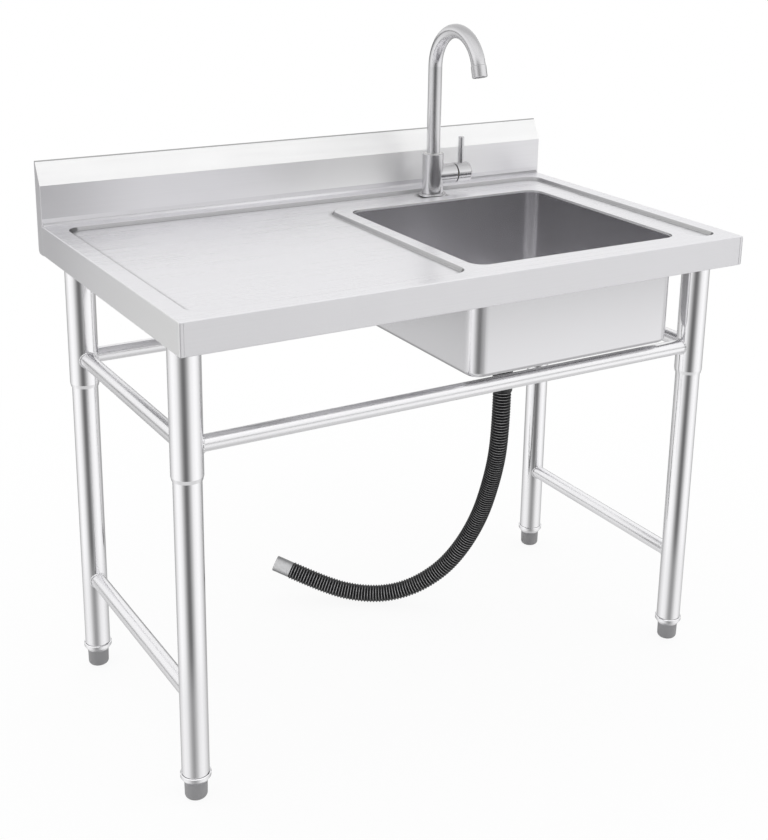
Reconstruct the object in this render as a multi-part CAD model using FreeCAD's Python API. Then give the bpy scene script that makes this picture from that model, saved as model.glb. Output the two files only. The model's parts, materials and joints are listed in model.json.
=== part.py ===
import FreeCAD, Part
import math
import os

# Freestanding stainless kitchen sink with drainboard, tubular stand, tap and drain hose.
# Millimetres. X to the right, Y to the back, Z up, the floor at zero under the middle of the top.

Vector = FreeCAD.Vector
RIGHT = Vector(1, 0, 0)
BACK = Vector(0, 1, 0)
UP = Vector(0, 0, 1)
DOWN = Vector(0, 0, -1)

# Fits and cuts
overrun = 5.0
running_clearance = 0.05
thread_clearance = 0.1
sliding_clearance = 0.3
weld_gap = 0.15
sheet = 1.2

# Worktop
top_width = 1000.0
top_depth = 600.0
deck_height = 773.0
apron_height = 50.0
apron_lip_clearance = 1.3
apron_seam_inset = 6.0
apron_seam_width = 1.0
apron_seam_depth = 0.5
bend_radius = 2.4
recess_depth = 6.0
recess_slope = 3.5
recess_corner = 26.0
recess_edge_radius = 2.0
rim_left = 30.0
rim_right = 28.0
rim_front = 30.0
rim_back = 26.0
gutter_end_radius = 20.0

# Backsplash
splash_height = 105.0
splash_depth = 24.0
splash_face_height = 67.0
splash_ledge = 4.0
splash_foot_radius = 8.0
splash_seam_edge = 0.8
splash_fold_radius = 3.0

# Basin
basin_width = 400.0
basin_bowl_depth = 183.0
basin_corner = 25.0
basin_floor_radius = 8.0
basin_right_margin = 100.0
basin_front_margin = 50.0
basin_back_margin = 150.0
basin_border = 25.0
basin_right_border = 28.0
basin_rim_radius = 2.0
collar_depth = 4.0
dish_radius = 50.0
dish_depth = 5.0

# Channels under the deck
channel_width = 56.0
channel_height = 20.0
channel_wall = 1.5
channel_end_gap = 14.0
stiffener_width = 40.0
stiffener_height = 15.0
stiffener_end_gap = 20.0
stiffener_place_share = 0.5

# Leg sockets, legs and their plates
leg_radius = 21.0
leg_wall = 1.5
leg_inset = 34.0
front_leg_inset = 70.0
rear_leg_inset = 100.0
socket_wall = 2.4
socket_foot_height = 518.0
socket_foot_lip = 1.0
socket_taper_height = 6.0
plate_length = 84.0
plate_thickness = 3.0
plate_screw_inset_x = 9.0
plate_screw_inset_y = 8.0
screw_radius = 3.0
screw_head_radius = 5.0
screw_head_height = 4.0
screw_length = 14.0

# Rails and stretchers
rail_radius = 12.5
rail_wall = 1.2
rail_height = 567.0
stretcher_height = 168.0

# Leg end collars and levelling feet
collar_base_height = 30.0
collar_seat_height = 39.0
collar_cup_depth = 4.0
collar_cup_gap = 0.6
collar_top_radius = 23.2
collar_base_radius = 18.6
collar_lip_height = 6.5
collar_edge = 0.8
collar_spigot_length = 25.0
stud_radius = 5.0
foot_top_radius = 17.5
foot_base_radius = 17.0
foot_edge_radius = 6.5
stud_seat_height = 8.0

# Tap
tap_x = 212.0
tap_hole_radius = 14.0
tap_gasket_radius = 24.0
tap_gasket_thickness = 1.5
tap_ring_radius = 25.5
tap_ring_height = 4.0
tap_ring_edge = 1.5
tap_body_radius = 19.5
tap_body_height = 74.5
tap_body_edge = 1.5
shank_radius = 12.0
shank_bore = 7.0
shank_stickout = 1.0
inlet_radius = 10.48
inlet_relief_radius = 9.6
inlet_relief_length = 2.0
shank_length = 54.0
shank_engagement = 12.0
clamp_washer_radius = 22.0
clamp_washer_thickness = 3.0
clamp_nut_flats = 32.0
clamp_nut_height = 10.0
waterway_radius = 4.0
port_radius = 3.0

# Tap valve and lever
boss_radius = 18.3
boss_reach = 45.0
boss_height = 33.5
boss_edge = 1.0
chamber_radius = 13.0
chamber_depth = 24.0
chamber_port_offset = 6.0
cartridge_length = 15.0
gland_inset = 1.5
stem_radius = 5.0
stem_tail = 6.0
stem_reach = 26.0
hub_gap = 2.0
hub_length = 30.5
hub_radius = 18.7
hub_edge = 5.0
hub_face_edge = 1.0
hub_relief_radius = 14.0
hub_relief_depth = 3.0
hub_rod_offset = 14.0
rod_radius = 5.5
rod_length = 57.5
rod_seat_depth = 9.5
rod_edge = 1.5
set_screw_radius = 2.0
hub_screw_offset = 8.0
hub_screw_inset = 0.8

# Spout
spout_radius = 12.5
spout_wall = 2.0
spout_socket_radius = 15.0
spout_socket_depth = 30.0
spout_rise = 158.0
spout_arc_radius = 70.0
spout_sweep = 164.0
spout_tail = 1.0
bush_height = 13.0
seal_radius = 1.2
seal_count = 2
seal_pitch = 4.0
seal_start = 2.0
groove_height = 12.0
groove_width = 5.0
groove_depth = 1.0
retainer_gap = 0.2
aerator_length = 21.0
aerator_radius = 13.4
aerator_neck_edge = 0.9
aerator_edge = 1.0
aerator_wall = 2.2
aerator_spigot = 4.5
aerator_core_thickness = 6.0
aerator_core_inset = 2.0
aerator_hole_radius = 0.9
aerator_ring_radius_shares = (0.3, 0.56, 0.82)
aerator_ring_counts = (6, 12, 18)

# Drain
drain_flange_radius = 45.0
drain_flange_thickness = 1.5
drain_cup_radius = 36.0
drain_cup_depth = 36.0
drain_wall = 1.5
drain_gasket_thickness = 1.0
drain_washer_thickness = 2.0
drain_nut_radius = 46.0
drain_nut_height = 10.0
drain_nut_lugs = 8
drain_lug_width = 8.0
drain_lug_reach = 4.0
spigot_radius = 14.0
spigot_length = 58.0
basket_radius = 33.5
basket_lip_radius = 38.5
basket_depth = 24.0
basket_wall = 1.0
basket_hole_radius = 2.4
basket_ring_radius_shares = (0.36, 0.62, 0.86)
basket_ring_counts = (6, 12, 18)
knob_stem_radius = 2.5
knob_stem_height = 16.0
knob_radius = 8.0
knob_height = 6.0
knob_edge = 2.0

# Drain hose
hose_crest_radius = 16.4
hose_root_radius = 13.8
hose_bore = 12.2
hose_rib_pitch = 5.4
hose_flank = 1.1
hose_crest = 1.7
hose_end_run = 1.5
cuff_radius = 17.8
cuff_edge = 1.0
cuff_top_gap = 6.0
cuff_length = 74.5
end_cuff_radius = 14.8
end_cuff_length = 33.0
clamp_band = 12.0
clamp_thickness = 1.2
clamp_drop = 8.0
clamp_box_width = 14.0
clamp_box_height = 9.0
clamp_screw_radius = 3.4
clamp_screw_length = 24.0

# Hose route, from under the drain to the free end that curls up off the floor: places from the axis
# of the drain, and heights above where it lies as shares of its fall
arc_reach_share = 0.45
hose_side = Vector(0.5, 0.85, 0)
hose_rest_height = 16.8
hose_places = [
    (0.0, 0.0),
    (0.0, 0.0),
    (10.0, 30.0),
    (14.0, 79.0),
    (-18.0, 117.0),
    (-66.0, 148.0),
    (-117.0, 178.0),
    (-167.0, 212.0),
    (-214.0, 249.0),
    (-267.0, 296.0),
]
hose_height_shares = [1.0, 0.810656, 0.612506, 0.361515, 0.161162,
                      0.05328, 0.004844, 0.0, 0.024659, 0.081902]

# Levels and places worked out from the sizes above
deck_back = top_depth / 2 - splash_depth
deck_front = -top_depth / 2
apron_foot = deck_height - apron_height
deck_under = deck_height - sheet
floor_top = deck_height - recess_depth
floor_under = floor_top - sheet
basin_left = top_width / 2 - basin_right_margin - basin_width
basin_right = basin_left + basin_width
basin_front = deck_front + basin_front_margin
basin_back = top_depth / 2 - basin_back_margin
basin_x = (basin_left + basin_right) / 2
basin_y = (basin_front + basin_back) / 2
collar_foot = deck_height - collar_depth
basin_floor = deck_height - basin_bowl_depth
recess_left = -top_width / 2 + rim_left
recess_right = top_width / 2 - rim_right
recess_front = deck_front + rim_front
recess_back = deck_back - rim_back
island_left = basin_left - basin_border
island_right = basin_right + basin_right_border
island_back = basin_back + basin_border

leg_x = top_width / 2 - leg_inset
leg_rows = {"front": deck_front + front_leg_inset, "rear": top_depth / 2 - rear_leg_inset}
leg_sides = {"left": -leg_x, "right": leg_x}
channel_foot = floor_under - channel_height
plate_foot = channel_foot - plate_thickness
socket_bore = leg_radius + sliding_clearance
socket_radius = socket_bore + socket_wall
apron_lip = leg_inset - socket_radius - apron_lip_clearance

tap_y = (island_back + recess_back) / 2
ring_foot = floor_top + tap_gasket_thickness
body_foot = ring_foot + tap_ring_height
body_top = body_foot + tap_body_height
boss_level = body_foot + boss_height
socket_floor = body_top - spout_socket_depth
spout_riser_top = body_top + spout_rise
spout_bore = spout_radius - spout_wall
chamber_back = boss_reach - chamber_depth
cartridge_front = chamber_back + cartridge_length
hub_back = boss_reach + hub_gap
rod_x = tap_x + hub_back + hub_rod_offset
rod_foot = boss_level + hub_radius - rod_seat_depth
shank_foot = floor_top - shank_length
clamp_nut_foot = floor_under - clamp_washer_thickness - clamp_nut_height
inlet_shoulder = clamp_nut_foot - shank_stickout

dish_floor = basin_floor - dish_depth
dish_under = dish_floor - sheet
flange_foot = dish_floor + drain_gasket_thickness
flange_top = flange_foot + drain_flange_thickness
cup_foot = flange_top - drain_cup_depth
cup_bore = drain_cup_radius - drain_wall
spigot_foot = cup_foot - spigot_length
drain_hole = drain_cup_radius + thread_clearance
hose_top = cup_foot - cuff_top_gap - cuff_length


def at(x, y, z):
    return Vector(x, y, z)


def block(low, high):
    size = high - low
    return Part.makeBox(size.x, size.y, size.z, low)


def rod(radius, length, base, axis=UP):
    return Part.makeCylinder(radius, length, base, axis)


def tube(outer, inner, length, base, axis=UP):
    return rod(outer, length, base, axis).cut(rod(inner, length, base, axis))


def box_tube(width, height, wall, start, length):
    """Rectangular tube along Y whose top face is centred on the start point."""
    low = at(start.x - width / 2, start.y, start.z - height)
    high = at(start.x + width / 2, start.y + length, start.z)
    hollow_low = at(low.x + wall, low.y - overrun, low.z + wall)
    hollow_high = at(high.x - wall, high.y + overrun, high.z - wall)
    return block(low, high).cut(block(hollow_low, hollow_high))


def turned(profile, centre, axis=UP):
    """Solid of revolution from points given as radius and height along the axis."""
    outline = [Vector(radius, 0, height) for radius, height in profile]
    face = Part.Face(Part.makePolygon(outline + outline[:1]))
    solid = face.revolve(Vector(0, 0, 0), UP, 360)
    solid.Placement = FreeCAD.Placement(centre, FreeCAD.Rotation(UP, axis))
    return solid


def round_edges(shape, radius, wanted):
    edges = [edge for edge in shape.Edges if wanted(edge)]
    return shape.makeFillet(radius, edges)


def level_edge(level):
    """Test for an edge that lies flat at one level."""
    def wanted(edge):
        box = edge.BoundBox
        return abs(box.ZMin - level) < running_clearance and abs(box.ZMax - level) < running_clearance
    return wanted


def rounded_wire(corners, level):
    """Closed outline at one level through corners given as x, y and radius."""
    arcs = []
    for index, (x, y, radius) in enumerate(corners):
        here = at(x, y, level)
        before = at(*corners[index - 1][:2], level) - here
        after = at(*corners[(index + 1) % len(corners)][:2], level) - here
        half_angle = before.getAngle(after) / 2
        bisector = (before.normalize() + after.normalize()).normalize()
        reach = radius / math.tan(half_angle)
        middle = here + bisector * (radius / math.sin(half_angle) - radius)
        arcs.append((here + before * reach, middle, here + after * reach))
    edges = []
    for index, (start, middle, end) in enumerate(arcs):
        edges.append(Part.makeLine(arcs[index - 1][2], start))
        edges.append(Part.Arc(start, middle, end).toShape())
    return Part.Wire(edges)


def rounded_prism(left, right, front, back, radius, foot, top):
    corners = [(left, front, radius), (right, front, radius), (right, back, radius), (left, back, radius)]
    return Part.Face(rounded_wire(corners, foot)).extrude(at(0, 0, top - foot))


def recess_wire(inset, level):
    """Outline of the drainboard and gutters, moved inwards by the inset."""
    outer = recess_corner - inset
    inner = recess_corner + inset
    gutter = gutter_end_radius - inset
    corners = [
        (recess_left + inset, recess_front + inset, outer),
        (island_left - inset, recess_front + inset, outer),
        (island_left - inset, island_back + inset, inner),
        (island_right + inset, island_back + inset, inner),
        (island_right + inset, recess_front + inset, gutter),
        (recess_right - inset, recess_front + inset, gutter),
        (recess_right - inset, recess_back - inset, outer),
        (recess_left + inset, recess_back - inset, outer),
    ]
    return rounded_wire(corners, level)


def recess_solid(growth, drop):
    """Tapered pressing, grown sideways and lowered to give the underside of the sheet."""
    rise = overrun
    run = rise * recess_slope / recess_depth
    top = recess_wire(-growth - run, deck_height - drop + rise)
    floor = recess_wire(recess_slope - growth, floor_top - drop)
    return Part.makeLoft([top, floor], True, True)


def pressed_recess():
    """Space above the pressing, closed off at the deck so that its rim can be rounded."""
    top = recess_wire(0, deck_height)
    floor = recess_wire(recess_slope, floor_top)
    return Part.makeLoft([top, floor], True, True)


def make_worktop():
    half = top_width / 2
    outer = block(at(-half, deck_front, apron_foot), at(half, deck_back, deck_height))

    def folded(edge):
        box = edge.BoundBox
        at_back = abs(box.YMax - deck_back) < running_clearance
        return not (at_back and box.YLength < running_clearance)

    outer = round_edges(outer, bend_radius, folded)
    outer = outer.cut(pressed_recess())
    in_recess = Part.Face(recess_wire(-recess_slope, deck_height)).BoundBox

    def pressed(edge):
        box = edge.BoundBox
        on_deck = level_edge(deck_height)(edge) and in_recess.isInside(box)
        return on_deck or level_edge(floor_top)(edge)

    outer = round_edges(outer, recess_edge_radius, pressed)
    hole_foot = apron_foot - overrun
    hole = rounded_prism(basin_left, basin_right, basin_front, basin_back, basin_corner,
                         hole_foot, deck_height + overrun)
    outer = outer.cut(hole)
    hole_box = hole.BoundBox

    def basin_edge(edge):
        return level_edge(deck_height)(edge) and hole_box.isInside(edge.BoundBox.Center)

    outer = round_edges(outer, basin_rim_radius, basin_edge)

    under = block(at(-half + sheet, deck_front + sheet, apron_foot + sheet),
                  at(half - sheet, deck_back + overrun, deck_under))
    mouth = block(at(-half + apron_lip, deck_front + apron_lip, apron_foot - overrun),
                  at(half - apron_lip, deck_back + overrun, deck_under - recess_depth))
    wall_growth = sheet * (math.hypot(recess_slope, recess_depth) - recess_slope) / recess_depth
    collar = rounded_prism(basin_left - sheet, basin_right + sheet,
                           basin_front - sheet, basin_back + sheet,
                           basin_corner + sheet, collar_foot, deck_height)
    cavity = under.fuse(mouth).cut(recess_solid(wall_growth, sheet)).cut(collar)
    tap_hole = rod(tap_hole_radius, recess_depth + sheet, at(tap_x, tap_y, floor_under))
    return outer.cut(cavity).cut(tap_hole).cut(apron_seams())


def apron_seams():
    """Shallow upright grooves where the front apron's ends are folded and joined."""
    grooves = []
    for side in (-1, 1):
        x = side * (top_width / 2 - apron_seam_inset)
        low = at(x - apron_seam_width / 2, deck_front - overrun, apron_foot + bend_radius)
        high = at(x + apron_seam_width / 2, deck_front + apron_seam_depth, deck_height - bend_radius)
        grooves.append(block(low, high))
    return grooves


def splash_outline(inset, foot):
    """Folded section of the backsplash as points in Y and Z."""
    front = deck_back + inset
    back = top_depth / 2 - inset
    top = deck_height + splash_height - inset
    bend = deck_height + splash_face_height
    ledge = top_depth / 2 - splash_ledge
    lean = math.atan2(ledge - deck_back, splash_height - splash_face_height)
    inner_bend = bend - inset * math.tan(lean / 2)
    inner_ledge = ledge + inset * (1 - math.sin(lean)) / math.cos(lean)
    return [(front, foot), (front, inner_bend), (inner_ledge, top), (back, top), (back, foot)]


def splash_prism(inset, foot, start, end):
    """Length of the backsplash section with a rounded fold along its top rear edge."""
    points = [at(start, y, z) for y, z in splash_outline(inset, foot)]
    prism = Part.Face(Part.makePolygon(points + points[:1])).extrude(at(end - start, 0, 0))
    back = top_depth / 2 - inset
    top = deck_height + splash_height - inset

    def top_fold(edge):
        box = edge.BoundBox
        return box.YMin > back - running_clearance and box.ZMin > top - running_clearance

    return round_edges(prism, splash_fold_radius - inset, top_fold)


def make_backsplash():
    end = top_width / 2 - sheet
    section = splash_prism(0, apron_foot, -end, end)
    section = section.cut(splash_prism(sheet, apron_foot - overrun, -end - overrun, end + overrun))
    clearing = block(at(-end, top_depth / 2 - sheet, apron_foot),
                     at(end, top_depth / 2, apron_foot + splash_foot_radius))
    return section.cut(clearing)


def make_splash_ends():
    ends = []
    for start in (-top_width / 2, top_width / 2 - sheet):
        panel = splash_prism(0, apron_foot, start, start + sheet)

        def rear_foot(edge):
            box = edge.BoundBox
            low = abs(box.ZMax - apron_foot) < running_clearance
            return low and abs(box.YMin - top_depth / 2) < running_clearance

        def seam(edge):
            box = edge.BoundBox
            outside = max(abs(box.XMin), abs(box.XMax)) > top_width / 2 - running_clearance
            return outside and box.XLength < running_clearance and box.YMax < deck_back + running_clearance

        panel = round_edges(panel, splash_foot_radius, rear_foot)
        ends.append(panel.makeChamfer(splash_seam_edge, [edge for edge in panel.Edges if seam(edge)]))
    return Part.makeCompound(ends)


def bowl(growth, foot, top):
    solid = rounded_prism(basin_left - growth, basin_right + growth,
                          basin_front - growth, basin_back + growth,
                          basin_corner + growth, foot, top)
    return round_edges(solid, basin_floor_radius + growth, level_edge(foot))


def make_basin():
    outer = bowl(sheet, basin_floor - sheet, collar_foot)
    outer = outer.fuse(rod(dish_radius + sheet, dish_depth + sheet, at(basin_x, basin_y, dish_under)))
    inner = bowl(0, basin_floor, collar_foot + overrun)
    inner = inner.fuse(rod(dish_radius, dish_depth + overrun, at(basin_x, basin_y, dish_floor)))
    drain = rod(drain_hole, dish_depth, at(basin_x, basin_y, dish_under - overrun / 2))
    return outer.cut(inner).cut(drain)


def make_leg_channel(x):
    start = at(x, deck_front + channel_end_gap, floor_under)
    length = deck_back - deck_front - 2 * channel_end_gap
    channel = box_tube(channel_width, channel_height, channel_wall, start, length)
    for leg_row in leg_rows.values():
        for place in plate_screw_places(x, leg_row):
            hole = rod(screw_radius + thread_clearance, channel_wall, at(*place, channel_foot))
            channel = channel.cut(hole)
    return channel


def make_stiffener():
    x = recess_left + (island_left - recess_left) * stiffener_place_share
    front = recess_front + recess_slope + stiffener_end_gap
    length = recess_back - recess_slope - stiffener_end_gap - front
    return box_tube(stiffener_width, stiffener_height, channel_wall, at(x, front, floor_under), length)


def make_socket(x, y):
    """Sleeve over the head of a leg, drawn in at its foot."""
    profile = [
        (socket_bore, socket_foot_height), (socket_bore + socket_foot_lip, socket_foot_height),
        (socket_radius, socket_foot_height + socket_taper_height), (socket_radius, plate_foot),
        (socket_bore, plate_foot),
    ]
    return turned(profile, at(x, y, 0))


def plate_screw_places(x, y):
    across = channel_width / 2 - plate_screw_inset_x
    along = plate_length / 2 - plate_screw_inset_y
    return [(x + side * across, y + end * along) for side in (-1, 1) for end in (-1, 1)]


def make_plate(x, y):
    plate = block(at(x - channel_width / 2, y - plate_length / 2, plate_foot),
                  at(x + channel_width / 2, y + plate_length / 2, channel_foot))
    for place in plate_screw_places(x, y):
        hole = rod(screw_radius + thread_clearance, plate_thickness, at(*place, plate_foot))
        plate = plate.cut(hole)
    return plate


def make_screw(x, y):
    head = rod(screw_head_radius, screw_head_height, at(x, y, plate_foot), DOWN)
    return head.fuse(rod(screw_radius, screw_length, at(x, y, plate_foot)))


def make_rail(start, end, height, post_radius):
    """Round tube between two posts, with its ends coped to the posts."""
    along = (at(*end, height) - at(*start, height))
    length = along.Length
    rail = tube(rail_radius, rail_radius - rail_wall, length, at(*start, height), along)
    for post in (start, end):
        cope = rod(post_radius + weld_gap, 4 * rail_radius, at(*post, height - 2 * rail_radius))
        rail = rail.cut(cope)
    return rail


def make_leg(x, y):
    length = plate_foot - collar_seat_height
    return tube(leg_radius, leg_radius - leg_wall, length, at(x, y, collar_seat_height))


def make_leg_collar(x, y):
    """Threaded end cap whose shallow cup stands round the foot of a leg."""
    bore = stud_radius + thread_clearance
    spigot = leg_radius - leg_wall - thread_clearance
    cup = leg_radius + collar_cup_gap
    lip = collar_seat_height + collar_cup_depth
    top = collar_seat_height + collar_spigot_length
    profile = [
        (bore, collar_base_height), (collar_base_radius, collar_base_height),
        (collar_top_radius, lip - collar_lip_height), (collar_top_radius, lip - collar_edge),
        (collar_top_radius - collar_edge, lip), (cup, lip), (cup, collar_seat_height),
        (spigot, collar_seat_height), (spigot, top), (bore, top),
    ]
    return turned(profile, at(x, y, 0))


def make_foot(x, y):
    top = collar_base_height
    profile = [(0, 0), (foot_base_radius, 0), (foot_top_radius, top), (0, top)]
    pad = round_edges(turned(profile, at(x, y, 0)), foot_edge_radius, level_edge(0))
    return pad.cut(rod(stud_radius, top, at(x, y, stud_seat_height)))


def make_foot_stud(x, y):
    top = collar_seat_height + collar_spigot_length
    return rod(stud_radius, top - stud_seat_height, at(x, y, stud_seat_height))


def tap_ring(outer, inner, foot, height):
    return tube(outer, inner, height, at(tap_x, tap_y, foot))


def make_tap_base_ring():
    ring = tap_ring(tap_ring_radius, shank_radius + thread_clearance, ring_foot, tap_ring_height)
    rim = [edge for edge in ring.Edges
           if level_edge(body_foot)(edge) and edge.Length > 2 * math.pi * tap_body_radius]
    return ring.makeFillet(tap_ring_edge, rim)


def make_tap_body():
    centre = at(tap_x, tap_y, body_foot)
    valve_axis = at(tap_x, tap_y, boss_level)
    column = rod(tap_body_radius, tap_body_height, centre)
    column = round_edges(column, tap_body_edge, level_edge(body_top))
    boss = rod(boss_radius, boss_reach, valve_axis, RIGHT)
    boss_end = tap_x + boss_reach
    boss = round_edges(boss, boss_edge, lambda edge: edge.BoundBox.XMin > boss_end - running_clearance)
    body = column.fuse(boss)
    body = body.cut(rod(spout_socket_radius, spout_socket_depth, at(tap_x, tap_y, socket_floor)))
    body = body.cut(rod(chamber_radius, chamber_depth, valve_axis + RIGHT * chamber_back, RIGHT))
    body = body.cut(rod(shank_radius + thread_clearance, shank_engagement, centre))
    low = boss_level - chamber_port_offset
    high = boss_level + chamber_port_offset
    body = body.cut(rod(waterway_radius, low + port_radius - body_foot, centre))
    for level in (low, high):
        body = body.cut(rod(port_radius, chamber_back, at(tap_x, tap_y, level), RIGHT))
    riser_foot = high - port_radius
    body = body.cut(rod(waterway_radius, socket_floor - riser_foot, at(tap_x, tap_y, riser_foot)))
    retainer = rod(set_screw_radius + thread_clearance, tap_body_radius, retainer_start(), BACK)
    return body.cut(retainer)


def retainer_start():
    return at(tap_x, tap_y + spout_radius - groove_depth + retainer_gap, socket_floor + groove_height)


def make_spout_retainer():
    reach = tap_body_radius - spout_radius + groove_depth - retainer_gap - hub_screw_inset
    return rod(set_screw_radius, reach, retainer_start(), BACK)


def make_shank():
    """Mounting shank that steps down to the inlet below its clamp nut."""
    relief_foot = inlet_shoulder - inlet_relief_length
    top = body_foot + shank_engagement
    profile = [
        (shank_bore, shank_foot), (inlet_radius, shank_foot), (inlet_radius, relief_foot),
        (inlet_relief_radius, relief_foot), (inlet_relief_radius, inlet_shoulder),
        (shank_radius, inlet_shoulder), (shank_radius, top), (shank_bore, top),
    ]
    return turned(profile, at(tap_x, tap_y, 0))


def make_clamp_nut():
    corner = clamp_nut_flats / math.sqrt(3)
    foot = clamp_nut_foot
    points = []
    for index in range(6):
        angle = math.radians(60 * index)
        points.append(at(tap_x + corner * math.cos(angle), tap_y + corner * math.sin(angle), foot))
    hexagon = Part.Face(Part.makePolygon(points + points[:1])).extrude(UP * clamp_nut_height)
    return hexagon.cut(rod(shank_radius + thread_clearance, clamp_nut_height, at(tap_x, tap_y, foot)))


def spout_end():
    """Middle and direction of the end of the spout's tube."""
    turn = math.radians(spout_sweep)
    along = at(0, -math.sin(turn), math.cos(turn))
    arc_end = at(tap_x, tap_y - spout_arc_radius + spout_arc_radius * math.cos(turn),
                 spout_riser_top + spout_arc_radius * math.sin(turn))
    return arc_end + along * spout_tail, along


def make_spout():
    riser = tube(spout_radius, spout_bore, spout_riser_top - socket_floor, at(tap_x, tap_y, socket_floor))
    groove_foot = socket_floor + groove_height - groove_width / 2
    groove = tap_ring(spout_radius + overrun, spout_radius - groove_depth, groove_foot, groove_width)
    riser = riser.cut(groove)
    ring = Part.Face([Part.Wire(Part.makeCircle(radius, at(tap_x, tap_y, spout_riser_top)))
                      for radius in (spout_radius, spout_bore)])
    bend = ring.revolve(at(tap_x, tap_y - spout_arc_radius, spout_riser_top), RIGHT, spout_sweep)
    end, along = spout_end()
    tail = tube(spout_radius, spout_bore, spout_tail, end - along * spout_tail, along)
    return riser.fuse([bend, tail]).removeSplitter()


def make_spout_bush():
    return tap_ring(spout_socket_radius - thread_clearance, spout_radius + running_clearance,
                    body_top - bush_height, bush_height)


def make_spout_seals():
    middle = (spout_radius + running_clearance + seal_radius)
    rings = []
    for index in range(seal_count):
        level = socket_floor + seal_start + index * seal_pitch
        rings.append(Part.makeTorus(middle, seal_radius, at(tap_x, tap_y, level)))
    return Part.makeCompound(rings)


def make_aerator_housing():
    end, along = spout_end()
    bore = aerator_radius - aerator_wall
    spigot = spout_bore - thread_clearance
    spigot_bore = spigot - (aerator_wall - (aerator_radius - spout_bore) / 2)
    profile = [
        (spigot_bore, -aerator_spigot), (spigot, -aerator_spigot), (spigot, 0),
        (aerator_radius - aerator_neck_edge, 0), (aerator_radius, aerator_neck_edge),
        (aerator_radius, aerator_length - aerator_edge), (aerator_radius - aerator_edge, aerator_length),
        (bore, aerator_length), (bore, aerator_length - aerator_core_inset - aerator_core_thickness),
        (spigot_bore, aerator_length - aerator_core_inset - aerator_core_thickness),
    ]
    return turned(profile, end, along)


def perforated(disc, centre, along, radius, shares, counts, hole_radius, depth):
    """Disc pierced by rings of holes around its middle."""
    turn = FreeCAD.Rotation(UP, along)
    tools = [rod(hole_radius, depth, centre, along)]
    for share, count in zip(shares, counts):
        for index in range(count):
            angle = 2 * math.pi * index / count
            place = turn.multVec(at(math.cos(angle), math.sin(angle), 0)) * (radius * share)
            tools.append(rod(hole_radius, depth, centre + place, along))
    return disc.cut(tools)


def make_aerator_core():
    end, along = spout_end()
    radius = aerator_radius - aerator_wall - thread_clearance
    foot = end + along * (aerator_length - aerator_core_inset - aerator_core_thickness)
    disc = rod(radius, aerator_core_thickness, foot, along)
    return perforated(disc, foot, along, radius, aerator_ring_radius_shares, aerator_ring_counts,
                      aerator_hole_radius, aerator_core_thickness)


def on_valve_axis(reach):
    return at(tap_x + reach, tap_y, boss_level)


def make_cartridge():
    body = tube(chamber_radius - thread_clearance, stem_radius + running_clearance, cartridge_length,
                on_valve_axis(chamber_back), RIGHT)
    back = tube(chamber_radius - thread_clearance, waterway_radius, stem_tail,
                on_valve_axis(chamber_back), RIGHT)
    return body.fuse(back).removeSplitter()


def make_gland_nut():
    length = boss_reach - gland_inset - cartridge_front
    return tube(chamber_radius - thread_clearance, stem_radius + running_clearance, length,
                on_valve_axis(cartridge_front), RIGHT)


def make_valve_stem():
    start = chamber_back + stem_tail
    return rod(stem_radius, hub_back + stem_reach - start, on_valve_axis(start), RIGHT)


def make_lever_hub():
    hub = rod(hub_radius, hub_length, on_valve_axis(hub_back), RIGHT)
    end = tap_x + hub_back + hub_length
    hub = round_edges(hub, hub_edge, lambda edge: edge.BoundBox.XMin > end - running_clearance)
    face = tap_x + hub_back
    hub = round_edges(hub, hub_face_edge, lambda edge: edge.BoundBox.XMax < face + running_clearance)
    hub = hub.cut(rod(hub_relief_radius, hub_relief_depth, on_valve_axis(hub_back), RIGHT))
    hub = hub.cut(rod(stem_radius + running_clearance, stem_reach, on_valve_axis(hub_back), RIGHT))
    hub = hub.cut(rod(rod_radius + running_clearance, hub_radius, at(rod_x, tap_y, rod_foot)))
    screw_x = rod_x + hub_screw_offset
    screw_hole = rod(set_screw_radius + running_clearance, hub_radius, at(screw_x, tap_y, boss_level), DOWN)
    return hub.cut(screw_hole)


def make_lever_rod():
    lever = rod(rod_radius, rod_length, at(rod_x, tap_y, rod_foot))
    return round_edges(lever, rod_edge, level_edge(rod_foot + rod_length))


def make_hub_screw():
    top = at(rod_x + hub_screw_offset, tap_y, boss_level - stem_radius)
    return rod(set_screw_radius, hub_radius - stem_radius - hub_screw_inset, top, DOWN)


def drain_ring(outer, inner, foot, height):
    return tube(outer, inner, height, at(basin_x, basin_y, foot))


def make_drain_cup():
    floor = cup_foot + drain_wall
    profile = [
        (drain_flange_radius, flange_foot), (drain_flange_radius, flange_top), (cup_bore, flange_top),
        (cup_bore, floor), (hose_bore, floor), (hose_bore, spigot_foot), (spigot_radius, spigot_foot),
        (spigot_radius, cup_foot), (drain_cup_radius, cup_foot), (drain_cup_radius, flange_foot),
    ]
    return turned(profile, at(basin_x, basin_y, 0))


def make_drain_gaskets():
    upper = drain_ring(drain_flange_radius, drain_hole, dish_floor, drain_gasket_thickness)
    washer_foot = dish_under - drain_washer_thickness
    lower = drain_ring(drain_nut_radius, drain_hole, washer_foot, drain_washer_thickness)
    return Part.makeCompound([upper, lower])


def make_drain_nut():
    foot = dish_under - drain_washer_thickness - drain_nut_height
    nut = rod(drain_nut_radius, drain_nut_height, at(basin_x, basin_y, foot))
    reach = drain_nut_radius + drain_lug_reach
    for index in range(drain_nut_lugs):
        lug = block(at(0, -drain_lug_width / 2, 0), at(reach, drain_lug_width / 2, drain_nut_height))
        lug.rotate(Vector(0, 0, 0), UP, 360 * index / drain_nut_lugs)
        lug.translate(at(basin_x, basin_y, foot))
        nut = nut.fuse(lug)
    return nut.cut(rod(drain_hole, drain_nut_height, at(basin_x, basin_y, foot)))


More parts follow.
